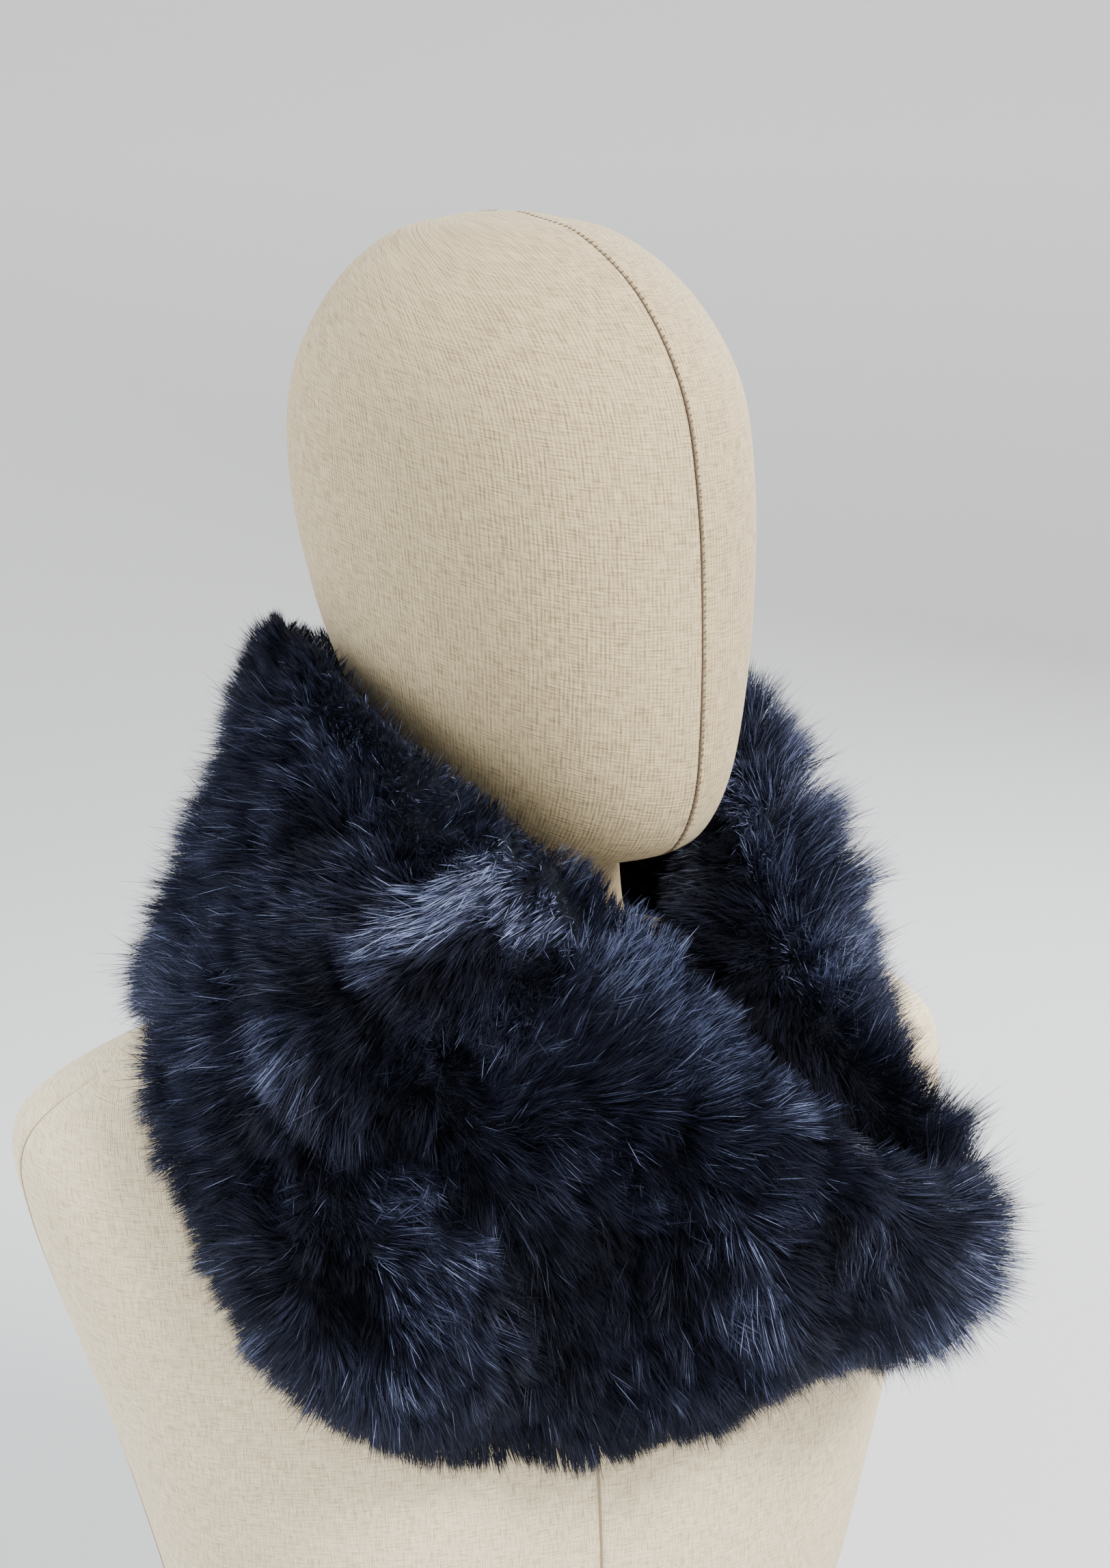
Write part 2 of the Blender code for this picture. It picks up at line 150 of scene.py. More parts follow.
# How the outer pile is combed, at places of the seam surface: section, down, heading, lean, length
# and tone. heading is from level, the way that the sections count (0), over up (90); lean is from
# straight out (0) to flat (90); tone is from the darkest (0) to the palest strands (100), and over
# that where nearly all are pale. The tones are painted light and shade: pale places are painted
# highlights and dark ones painted shade.
COMBING = (
    # the right side, under the point
    (14.8, 3, 40, 45, 9, 50), (14.7, 14, 100, 34, 16, 52), (14.1, 28, 160, 24, 22, 40),
    (13.8, 62, 188, 34, 29, 42), (13.8, 92, 212, 42, 26, 60), (14.3, 78, 200, 36, 27, 60),
    (14.2, 44, 188, 26, 26, 38), (13.55, 46, 186, 30, 28, 60), (14.5, 32, 150, 18, 19, 36),
    (15.05, 26, 165, 34, 18, 5), (15.2, 14, 100, 32, 18, 34), (14.7, 52, 215, 20, 20, 38),
    # the fan and its parting
    (15.5, 20, 150, 38, 21, 40), (15.45, 29, 225, 38, 22, 50), (15.62, 36, 225, 30, 20, 5),
    # the streak painted pale as a highlight, with what is over and under it
    (15.82, 24.5, 212, 60, 26, 90), (15.66, 24, 215, 34, 20, 12), (15.98, 19, 216, 62, 27, 120),
    (16.1, 14, 224, 64, 27, 130), (16.24, 8.5, 229, 64, 26, 130), (16.36, 3, 236, 58, 20, 120),
    (15.88, 10, 70, 34, 16, 30), (16.1, 3, 60, 36, 15, 25), (16.12, 23.5, 225, 40, 20, 8),
    (16.42, 16, 225, 40, 20, 10),
    # the short streak by the chin, painted pale as a highlight
    (16.8, 15, 212, 46, 19, 10), (16.62, 11.5, 208, 62, 18, 105), (16.95, 6, 207, 60, 17, 115),
    (16.62, 4, 215, 48, 16, 30), (17.2, 1, 70, 44, 30, 50),
    # the rim beside the jaw, and the side below it
    (15.7, 3, 20, 40, 8, 45), (16.5, 1, 20, 40, 9, 40), (15.9, 35, 262, 28, 21, 12),
    (15.1, 42, 215, 24, 21, 42), (15.5, 44, 240, 32, 22, 15),
    # the side's tuft, painted pale as a highlight
    (15.42, 60, 250, 52, 21, 105), (15.55, 58.5, 266, 52, 21, 85), (15.72, 53, 284, 50, 22, 28),
    (15.62, 46, 264, 42, 20, 30), (15.2, 66, 235, 38, 24, 40), (16, 46, 283, 40, 24, 35),
    # the crease, in painted shade, and the hem below the tuft
    (15.9, 62, 285, 44, 18, 0), (15.5, 71, 250, 42, 20, 6), (15.2, 86, 222, 44, 19, 34),
    (15.7, 93, 220, 60, 18, 35),
    # the lobe over the hem
    (16.1, 63, 20, 44, 18, 15), (15.8, 75, 150, 34, 18, 22), (15.95, 69, 30, 46, 18, 60),
    (16, 84, 214, 36, 20, 15), (16.45, 72, 350, 24, 16, 2), (16.45, 80, 300, 24, 18, 10),
    (16.55, 59, 15, 46, 19, 65), (16.95, 64, 358, 44, 20, 90), (16.72, 70, 350, 42, 19, 65),
    (17.1, 74, 345, 46, 20, 45), (16.8, 87, 312, 46, 20, 62), (16.5, 87, 285, 46, 20, 60),
    (16.6, 96, 264, 60, 22, 50), (16.2, 94, 236, 60, 22, 50),
    # painted shade in the crease round the lobe
    (16.9, 54, 300, 46, 18, 0), (17.42, 66, 290, 46, 19, 0), (17.58, 74, 295, 44, 19, 2),
    (17.15, 57, 295, 44, 18, 0), (17.65, 82, 290, 46, 20, 5), (17.1, 95, 290, 58, 19, 30),
    # the upper front
    (16.7, 24, 68, 60, 25, 45), (17.1, 14, 72, 60, 26, 50), (16.9, 34, 66, 54, 24, 42),
    # the middle of the front, painted dark as shade, with mixed tufts
    (17, 47, 22, 32, 20, 22), (16.4, 42, 285, 18, 22, 10), (17.4, 60, 305, 30, 21, 0),
    (17.8, 52, 325, 30, 21, 2), (17.6, 34, 25, 30, 21, 42), (17.4, 40, 10, 26, 20, 36),
    (17.72, 42, 345, 34, 20, 32), (16.3, 34, 120, 16, 20, 25), (16.65, 37, 30, 26, 19, 25),
    (17.9, 36, 50, 22, 19, 45),
    # the lower front
    (17.6, 80, 318, 36, 23, 24), (17.7, 96, 292, 58, 18, 22), (0.25, 80, 330, 36, 22, 30),
    (0.3, 96, 296, 58, 18, 22),
    # the rim under the chin, its edge painted pale as a highlight
    (17.75, 3, 92, 50, 34, 105), (17.75, 14, 74, 58, 26, 40), (17.7, 24, 66, 56, 25, 36),
    (0.1, 4, 78, 52, 32, 105), (0.1, 16, 62, 58, 26, 42), (0.6, 3, 62, 52, 26, 85),
    (0.6, 13, 54, 58, 25, 50), (0.9, 6, 52, 54, 24, 75), (1.6, 2, 46, 52, 22, 70),
    # the shelf to the left of the chin
    (0.9, 22, 28, 54, 23, 50), (0.4, 33, 20, 30, 20, 12), (1.4, 16, 8, 44, 22, 35),
    (0.25, 45, 5, 42, 19, 50), (0.3, 56, 290, 34, 20, 5), (0.6, 46, 320, 34, 19, 6),
    # the front's ridge
    (0.92, 42, 0, 46, 22, 75), (1.12, 56, 322, 46, 22, 75), (1.2, 70, 318, 38, 22, 40),
    (0.72, 55, 290, 34, 20, 4), (1.2, 36, 12, 44, 22, 50), (0.65, 72, 318, 38, 24, 25),
    (0.65, 86, 316, 40, 23, 28),
    # left of the ridge
    (1.8, 34, 352, 34, 19, 2), (1.3, 80, 304, 38, 22, 25), (2, 60, 345, 34, 19, 12),
    (1.5, 95, 305, 58, 18, 30), (2.1, 93, 300, 54, 24, 60), (2, 8, 16, 44, 22, 30),
    (2.3, 26, 262, 34, 20, 50), (2.4, 40, 320, 38, 20, 25),
    # the free corner
    (2.9, 8, 14, 40, 23, 35), (2.8, 34, 344, 40, 24, 25), (3.3, 40, 332, 38, 32, 80),
    (3.1, 62, 318, 44, 31, 80), (2.8, 90, 300, 48, 29, 60), (3.8, 30, 8, 30, 34, 50),
    (4.2, 10, 30, 34, 28, 30), (4.1, 75, 318, 40, 33, 60), (5, 38, 14, 32, 33, 45),
    (5, 4, 60, 36, 20, 12), (5.1, 85, 300, 42, 30, 40),
    # the band that goes back from the corner, low down
    (5.7, 50, 18, 34, 31, 45), (5.6, 26, 100, 50, 20, 12), (6.2, 30, 115, 58, 20, 2),
    (6.2, 42, 118, 42, 22, 45), (6.35, 51, 100, 40, 24, 80), (6.2, 70, 350, 36, 29, 55),
    (6.6, 46, 138, 44, 24, 105), (6.8, 43, 120, 44, 23, 85),
    # painted shade on the band's inside, and the band's middle
    (6.6, 14, 100, 62, 18, 0), (6.9, 27, 115, 48, 20, 3), (7.4, 20, 120, 48, 19, 8),
    (7.1, 40, 105, 40, 23, 70), (7, 78, 18, 34, 31, 80), (7.4, 56, 90, 36, 26, 65),
    (7.65, 30, 128, 46, 24, 105),
    # the band, higher up
    (7.7, 8, 100, 62, 18, 0), (7.9, 25, 150, 48, 24, 110), (7.9, 15, 170, 56, 20, 5),
    (8.2, 17, 146, 44, 23, 110), (8.45, 4, 150, 48, 20, 105), (8, 52, 10, 30, 35, 80),
    (7.7, 64, 5, 30, 37, 65), (8.2, 36, 100, 38, 26, 75), (8.2, 82, 320, 48, 25, 35),
    # the band's top, painted pale as lit
    (8.8, 4, 75, 40, 30, 75), (8.8, 16, 40, 40, 30, 90), (8.9, 32, 20, 34, 34, 75),
    (9.2, 60, 300, 46, 25, 35),
    # the back
    (9.9, 6, 84, 46, 22, 40), (9.8, 45, 262, 52, 25, 50), (9.9, 90, 285, 54, 25, 35),
    (10.6, 30, 230, 58, 22, 10), (11, 50, 290, 54, 25, 70), (11, 5, 100, 48, 22, 40),
    (11.1, 90, 262, 54, 25, 35), (11.7, 25, 60, 56, 24, 65), (11.9, 55, 300, 60, 22, 5),
    (12.1, 88, 248, 54, 25, 45),
    # the back's right, to the side
    (12.5, 5, 80, 46, 22, 35), (12.7, 35, 236, 54, 24, 75), (12.9, 65, 282, 52, 25, 35),
    (13, 92, 270, 52, 24, 40), (13.6, 6, 100, 44, 21, 35), (13.4, 32, 205, 48, 24, 50),
)
COMB_REACH, COMB_FALL = 0.005, 2.5  # how sharply one place's combing gives way to the next
COMB_BATCH = 20000  # strands combed at a time, to save memory

# The pile of the inner panel, seen in the opening: pressed and combed up over the rim. Its darkness
# is painted shade, and its tones painted light and shade.
INNER_COMBING = (
    # the walls
    (17.8, 10, 92, 40, 26, 20), (0.8, 20, 95, 60, 15, 15), (2.4, 30, 110, 60, 15, 12),
    (4.2, 40, 80, 60, 14, 10), (6, 40, 70, 60, 14, 5), (8, 40, 100, 60, 14, 10),
    (9.6, 20, 80, 55, 15, 45), (9.8, 60, 80, 55, 15, 60), (9.3, 80, 80, 45, 15, 90),
    (11, 20, 100, 60, 14, 40), (12.8, 20, 80, 60, 14, 20), (14.4, 20, 100, 60, 14, 15),
    (16, 20, 80, 60, 14, 10),
    # the hem, longer where it closes the slit behind the form
    (16, 90, 270, 60, 14, 5), (1, 90, 270, 60, 14, 5), (8.6, 90, 280, 26, 26, 5),
    (9.1, 88, 275, 18, 29, 5), (9.6, 90, 270, 26, 26, 5), (11, 90, 270, 36, 20, 5),
    (13, 90, 270, 26, 26, 5), (14, 90, 270, 30, 22, 5),
)

# Locks of the pile and the tufts in them: how far apart, how much each turns, leans, lengthens and
# pales by itself, and how its tips gather
LOCK_SPACING, TUFT_SPACING = 0.0075, 0.0016
LOCK_TURN, LOCK_LEAN = math.radians(16.0), math.radians(9.0)
TUFT_TURN, TUFT_LEAN = math.radians(16.0), math.radians(6.0)
LOCK_LENGTH, SHORTEST_LOCK, LONGEST_LOCK = 0.13, 0.6, 1.3
LOCK_TONE, TUFT_TONE = 0.08, 0.28
LOCK_GATHER, TUFT_GATHER, GATHER_CURVE = 0.22, 0.34, 1.4
PARTED_LEAN = 0.45  # the share of its lean that a pile keeps where the headings part
ORDERLY, UNRULY = math.radians(56.0), math.radians(28.0)  # leans of a pile in order, and of one not
UNRULY_TURN, ORDERLY_TURN = 1.7, 0.5  # how much its locks and strands turn then

# Single strands
STRAND_TURN, STRAND_LEAN, LENGTH_SPREAD = math.radians(9.0), math.radians(7.0), 0.10
STRAY_SHARE = 0.10  # strands that go their own way
STRAY_TURN, STRAY_LEAN = math.radians(30.0), math.radians(16.0)
STRAY_RISE, STRAY_LENGTH, STRAY_GATHER = 0.12, 1.12, 0.15
LEAST_LEAN, MOST_LEAN = math.radians(8.0), math.radians(80.0)
BEND = math.radians(18.0)  # how much further a strand leans at its tip than at its root
BEND_PIVOT = 0.35  # the share of its length where it leans as the table says
DROOP = 0.14  # how much of its weight a strand gives way to, at its tip
STRAND_LEVELS = np.array([0.0, 0.5, 1.0])
STRAND_WIDTH = 0.00031  # at its middle
INNER_WIDTH = STRAND_WIDTH * 1.3
WIDTH_LEAST, WIDTH_SPREAD = 0.75, 0.5
FACING_SPREAD = 0.55  # how far a ribbon faces away from straight out
ROOT_SUNK = 0.8  # the share of the backing's thickness that a strand starts at
PILE_SEEN = 0.014  # how far out from the seam surface the combing table's places are read
SEEN_ALONG = 0.6  # and then how far along a strand
EDGE_SHARE, EDGE_LENGTH = 0.20, 0.50  # the pile is shorter towards the rim, over this share down
HEM_SHARE, HEM_LENGTH = 0.12, 0.80
TURNED_SHARE, RIM_TURNED, HEM_TURNED = 0.06, 0.6, 0.8  # how the pile turns over the two edges
LEVEL_SLOPE = 0.25  # how much of the loop's own slope its level direction keeps
LOWEST_GAP, FORM_REACH = 0.0006, 0.012  # from the form to a strand that lies on it

# Their tones: most stay darker than the place they are in, and a few are painted pale as glints
TONE_AT_MIDDLE, TONE_AT_TIP = 0.4, 0.6  # where a strand's place is read for its tone
TONE_FLOOR, TONE_CURVE, TONE_SPREAD = 0.24, 1.8, 0.05
GLINT_SHARE, GLINT_GAIN, GLINT_LIFT = 0.055, 2.1, 0.04
DARKEST, PALEST = 0.02, 0.98
STRAND_ON_MAP = 0.006  # half a strand's width on the colour map

rng = np.random.default_rng(20)


def mm(*values):
    return [value / 1000.0 for value in values]


# ---- curves and tables, as in the solids ----


def catmull_rom(before, here, there, after, share):
    """The curve from here to there that leaves and arrives along its neighbours."""
    return 0.5 * (
        2.0 * here
        + (there - before) * share
        + (2.0 * before - 5.0 * here + 4.0 * there - after) * share**2
        + (3.0 * here - before - 3.0 * there + after) * share**3
    )


def smooth_rows(rows, at):
    last = len(rows) - 1
    whole = min(int(at), last - 1)
    picked = [rows[min(max(whole + step, 0), last)] for step in (-1, 0, 1, 2)]
    return catmull_rom(*picked, at - whole)


def smooth_ring(rows, at):
    whole = math.floor(at)
    picked = [rows[(whole + step) % len(rows)] for step in (-1, 0, 1, 2)]
    return catmull_rom(*picked, at - whole)


def section_rows():
    return np.array([mm(*row[1:]) for row in SECTIONS])


def seam_point(rows, section, down):
    """A point of the seam surface: section goes round the loop, down from rim (0) to hem (1)."""
    row = smooth_ring(rows, section)
    rim, middle, hem = row[0:3], row[3:6], row[6:9]
    return (
        rim * (1.0 - down) * (1.0 - 2.0 * down)
        + middle * 4.0 * down * (1.0 - down)
        + hem * down * (2.0 * down - 1.0)
    )


def seam_grid():
    rows = section_rows()
    grid = np.empty((STEPS_AROUND, STEPS_DOWN + 1, 3))
    for around in range(STEPS_AROUND):
        for step in range(STEPS_DOWN + 1):
            section = len(SECTIONS) * around / STEPS_AROUND
            grid[around, step] = seam_point(rows, section, step / STEPS_DOWN)
    return grid


def folded(grid, table):
    """The grid with the table's troughs and ridges pressed into it."""
    rows = section_rows()
    height = np.zeros(grid.shape[:2])
    for section_a, down_a, section_b, down_b, width, depth in table:
        down_a, down_b = down_a / 100.0, down_b / 100.0
        line = []
        for step in range(FOLD_STEPS + 1):
            share = step / FOLD_STEPS
            section = section_a + (section_b - section_a) * share
            line.append(seam_point(rows, section, down_a + (down_b - down_a) * share))
        away = np.linalg.norm(grid[:, :, None, :] - np.array(line)[None, None], axis=3).min(axis=2)
        height += depth / 1000.0 * np.exp(-((FOLD_FADE * away / (width / 1000.0)) ** 2))
    return grid + grid_normals(grid) * height[:, :, None]


def unit(vectors):
    return vectors / np.maximum(np.linalg.norm(vectors, axis=-1, keepdims=True), 1e-12)


def grid_normals(grid):
    """Unit normals of a grid that closes in its first direction, pointing out of the loop."""
    around = np.roll(grid, -1, axis=0) - np.roll(grid, 1, axis=0)
    return unit(np.cross(np.gradient(grid, axis=1), around))


def is_inside(tree, point):
    """Whether a ray from the point leaves the closed surface an odd number of times."""
    hits, place = 0, tree.ray_cast(point, RAY)[0]
    while place is not None:
        hits += 1
        place = tree.ray_cast(place + RAY * NO_GAP, RAY)[0]
    return hits % 2 == 1


def pushed_clear(points, trees, clearance):
    """The points, with any that lie nearer to the form than the clearance moved straight off it."""
    moved = np.array(points, float)
    flat = moved.reshape(-1, 3)
    for number, point in enumerate(flat):
        for tree in trees:
            nearest, normal, _, gap = tree.find_nearest(Vector(point))
            if gap > FAR_FROM_FORM:
                continue
            inside = is_inside(tree, Vector(point))
            if inside or gap < clearance:
                off = normal if inside or gap < NO_GAP else (Vector(point) - nearest) / gap
                flat[number] = point = np.array(nearest + off * clearance)
    return moved


def relaxed(grid):
    """The grid with each point moved half-way to its neighbours' middle."""
    around = (np.roll(grid, 1, axis=0) + np.roll(grid, -1, axis=0)) / 2.0
    eased = (grid + around) / 2.0
    eased[:, 1:-1] = (eased[:, 1:-1] * 2.0 + eased[:, :-2] + eased[:, 2:]) / 4.0
    return eased


def surface_tree(node):
    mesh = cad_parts[node].data
    points = [point.co.copy() for point in mesh.vertices]
    return BVHTree.FromPolygons(points, [tuple(face.vertices) for face in mesh.polygons])


def finer(grid, times):
    """The grid with this many steps for each of its own, on smooth curves both ways."""
    around, rows = grid.shape[:2]
    at = np.arange(around * times) / times
    whole = at.astype(int)
    picked = [grid[(whole + step) % around] for step in (-1, 0, 1, 2)]
    grid = catmull_rom(*picked, (at - whole)[:, None, None])
    first, last = 2.0 * grid[:, :1] - grid[:, 1:2], 2.0 * grid[:, -1:] - grid[:, -2:-1]
    grid = np.concatenate([first, grid, last], axis=1)
    at = np.arange((rows - 1) * times + 1) / times
    whole = np.minimum(at.astype(int), rows - 2)
    picked = [grid[:, whole + step] for step in range(4)]
    return catmull_rom(*picked, (at - whole)[:, None])


# ---- meshes ----


def placed(name, data):
    """A new object of the scene."""
    made = bpy.data.objects.new(name, data)
    bpy.context.scene.collection.objects.link(made)
    return made


def new_mesh(name, points, corners, counts, finish, uv_name=None, uv=None):
    """A smooth-shaded object from arrays: its faces' corners in one row, and each face's count."""
    mesh = bpy.data.meshes.new(name)
    mesh.vertices.add(len(points))
    mesh.vertices.foreach_set("co", np.ascontiguousarray(points, np.float32).ravel())
    mesh.loops.add(len(corners))
    mesh.loops.foreach_set("vertex_index", np.ascontiguousarray(corners, np.int32))
    mesh.polygons.add(len(counts))
    starts = np.concatenate([[0], np.cumsum(counts)[:-1]]).astype(np.int32)
    mesh.polygons.foreach_set("loop_start", starts)
    mesh.polygons.foreach_set("use_smooth", np.ones(len(counts), bool))
    mesh.update(calc_edges=True)
    if uv is not None:
        layer = mesh.uv_layers.new(name=uv_name)
        layer.data.foreach_set("uv", np.ascontiguousarray(uv, np.float32).ravel())
    mesh.materials.append(finish)
    return placed(name, mesh)


# ---- materials ----


class Nodes:
    """Short calls for building one material's nodes."""

    def __init__(self, name):
        self.material = bpy.data.materials.new(name)
        self.material.use_nodes = True
        self.tree = self.material.node_tree
        self.shader = self.tree.nodes["Principled BSDF"]

    def join(self, socket, value):
        if isinstance(value, bpy.types.NodeSocket):
            self.tree.links.new(value, socket)
        else:
            socket.default_value = value

    def put(self, node, **inputs):
        """Sets or links a node's inputs, with _ for each space in their names."""
        for name, value in inputs.items():
            self.join(node.inputs[name.replace("_", " ")], value)
        return node

    def add(self, kind, **inputs):
        return self.put(self.tree.nodes.new(kind), **inputs)

    def maths(self, operation, first, second=0.0, clamp=False):
        node = self.tree.nodes.new("ShaderNodeMath")
        node.operation = operation
        node.use_clamp = clamp
        self.join(node.inputs[0], first)
        self.join(node.inputs[1], second)
        return node.outputs[0]

    def object_place(self):
        return self.add("ShaderNodeTexCoord").outputs["Object"]

    def noise(self, place, scale, detail):
        node = self.add("ShaderNodeTexNoise", Vector=place, Scale=scale, Detail=detail)
        return node.outputs["Fac"]

    def ramp(self, value, stops):
        node = self.tree.nodes.new("ShaderNodeValToRGB")
        self.tree.links.new(value, node.inputs["Fac"])
        points = node.color_ramp.elements
        while len(points) < len(stops):
            points.new(0.5)
        for point, (at, colour) in zip(points, stops):
            point.position = at
            point.color = (*colour, 1.0)
        return node.outputs["Color"]

    def product(self, first, second):
        """The two colours multiplied."""
        node = self.tree.nodes.new("ShaderNodeMix")
        node.data_type, node.blend_type = "RGBA", "MULTIPLY"
        for name, value in (("Factor", 1.0), ("A", first), ("B", second)):
            self.join([s for s in node.inputs if s.name == name and s.enabled][0], value)
        return [s for s in node.outputs if s.enabled][0]

    def uv(self, name):
        node = self.tree.nodes.new("ShaderNodeUVMap")
        node.uv_map = name
        split = self.add("ShaderNodeSeparateXYZ", Vector=node.outputs["UV"])
        return node.outputs["UV"], split.outputs["X"], split.outputs["Y"]


GLOW = 0.42  # the painted highlights' last stop but one, as a share of the palest


def fur_material(name, darkest, middle, pale, palest, roughness):
    """Strands coloured by their tone across the map, mostly painted light and shade, and darker
    towards the root down it, as painted shade deep in the pile.
    """
    nodes = Nodes(name)
    _, tone, along = nodes.uv("OFBake")
    glowing = tuple(value * GLOW for value in palest)
    stops = [(0.0, darkest), (0.32, middle), (0.62, pale), (0.84, glowing), (1.0, palest)]
    # Painted shade towards the root, deep in the pile, and painted light at the tips
    root_shade_stops = [(at, (grey, grey, grey)) for at, grey in ((0.0, 0.18), (0.45, 0.42), (1.0, 1.0))]
    colour, depth = nodes.ramp(tone, stops), nodes.ramp(along, root_shade_stops)
    nodes.put(
        nodes.shader,
        Base_Color=nodes.product(colour, depth),
        Roughness=roughness,
        Specular_IOR_Level=0.22,
        Specular_Tint=(0.62, 0.70, 1.0, 1.0),
        Sheen_Weight=0.05,
        Sheen_Roughness=0.35,
        Sheen_Tint=(0.55, 0.65, 1.0, 1.0),
    )
    return nodes.material


def plain_material(name, colour, roughness):
    nodes = Nodes(name)
    nodes.put(nodes.shader, Base_Color=(*colour, 1.0), Roughness=roughness)
    return nodes.material


def backing_material():
    nodes = Nodes("fur_backing_knit")
    stops = [(0.3, (0.004, 0.0045, 0.007)), (0.7, (0.009, 0.011, 0.018))]
    mottle = nodes.noise(nodes.object_place(), scale=260.0, detail=2.0)
    colour = nodes.ramp(mottle, stops)
    nodes.put(nodes.shader, Base_Color=colour, Roughness=0.85, Specular_IOR_Level=0.1)
    return nodes.material


# Lumps of the linen's yarns to a metre, across and along them, and the pale dashes among them
SLUB_FINE, SLUB_LONG = 1500.0, 130.0
DASH_FINE, DASH_LONG = 1100.0, 190.0
DASH_FROM, DASH_GAIN = 0.60, 3.0
WANDER_SCALE, WANDER = 90.0, 0.0008  # how the yarns stray from straight
RELIEF_WEAVE, RELIEF_SLUB = 0.35, 4.0
GRAIN_WEAVE, GRAIN_SLUB, GRAIN_CLOUD = 0.16, 1.9, 0.25


def linen_material(name, pitch_across, pitch_down, pale, dark, rib, slubby):
    """Plain weave: yarns across and down, uneven slubs along each, and soft wear in colour."""
    nodes = Nodes(name)
    maths = nodes.maths
    place, across, down = nodes.uv("Weave")

    def slubs(scale_across, scale_down, detail):
        scale = (scale_across, scale_down, 1.0)
        stretch = nodes.add("ShaderNodeMapping", Vector=place, Scale=scale)
        return nodes.noise(stretch.outputs["Vector"], 1.0, detail)

    def blend(first, first_share, second, second_share):
        first = maths("MULTIPLY", first, first_share)
        return maths("ADD", first, maths("MULTIPLY", second, second_share))

    def yarns(along, pitch):
        return maths("SINE", maths("MULTIPLY", maths("ADD", along, wander), WHOLE_TURN / pitch))

    warp_slub, weft_slub = slubs(SLUB_FINE, SLUB_LONG, 2.0), slubs(SLUB_LONG, SLUB_FINE, 2.0)
    wander = maths("SUBTRACT", slubs(WANDER_SCALE, WANDER_SCALE, 2.0), 0.5)
    wander = maths("MULTIPLY", wander, WANDER)
    weave = blend(yarns(across, pitch_across), rib, yarns(down, pitch_down), 1.0 - rib)
    slub = blend(warp_slub, 0.5, weft_slub, 0.5)
    relief = blend(weave, RELIEF_WEAVE, slub, RELIEF_SLUB)
    grain = blend(weave, GRAIN_WEAVE, slub, GRAIN_SLUB)
    cloud = nodes.noise(nodes.object_place(), scale=9.0, detail=3.0)
    shade = maths("SUBTRACT", maths("ADD", grain, maths("MULTIPLY", cloud, GRAIN_CLOUD)), 0.5)
    dashes = maths("MAXIMUM", slubs(DASH_FINE, DASH_LONG, 1.0), slubs(DASH_LONG, DASH_FINE, 1.0))
    dashes = maths("MULTIPLY", maths("SUBTRACT", dashes, DASH_FROM), DASH_GAIN, clamp=True)
    shade = maths("SUBTRACT", shade, maths("MULTIPLY", dashes, slubby))
    bump = nodes.add("ShaderNodeBump", Height=relief, Strength=0.55, Distance=0.00035)
    nodes.put(
        nodes.shader,
        Base_Color=nodes.ramp(shade, [(0.25, dark), (0.76, pale)]),
        Normal=bump.outputs["Normal"],
        Roughness=0.88,
        Specular_IOR_Level=0.25,
        Sheen_Weight=0.10,
        Sheen_Roughness=0.5,
    )
    return nodes.material


def floor_material():
    nodes = Nodes("pale_floor")
    # Painted light: paler up the wall than on the floor, standing in for light that reaches the
    # wall less
    height = nodes.add("ShaderNodeSeparateXYZ", Vector=nodes.object_place()).outputs["Z"]
    colour = nodes.ramp(height, [(0.0, (0.56, 0.56, 0.56)), (0.7, (0.86, 0.86, 0.86))])
    nodes.put(nodes.shader, Base_Color=colour, Roughness=0.8)
    return nodes.material


# ---- the form ----

SEAM_TURNS = (0.003, 0.006, 0.010, 0.016, 0.028, 0.05)  # extra columns beside a seam, in radians
SEAM_FREE = 0.06  # and no others so near


def ring_turns(sides, seams):
    """The columns' turns round a level, evenly spaced and closer beside each seam."""
    turns = [WHOLE_TURN * side / sides for side in range(sides)]
    for seam in seams:
        turns = [t for t in turns if abs((t - seam + math.pi) % WHOLE_TURN - math.pi) > SEAM_FREE]
        turns += [(seam + side * step) % WHOLE_TURN for step in SEAM_TURNS for side in (-1.0, 1.0)]
        turns.append(seam % WHOLE_TURN)
    return np.array(sorted(turns))


def level_points(row, turns):
    height, half_width, front, back, square = row
    across, along = np.sin(turns), -np.cos(turns)
    x = half_width * np.sign(across) * np.abs(across) ** (2.0 / square)
    y = (back + front) / 2.0 * np.sign(along) * np.abs(along) ** (2.0 / square)
    y = (back - front) / 2.0 + y
    return np.stack([x, y, np.full(len(turns), height)], axis=-1)


def level_rows(table):
    """The table in metres, but for its last column, which is the squareness."""
    return np.array([mm(*row[:-1]) + [row[-1]] for row in table])


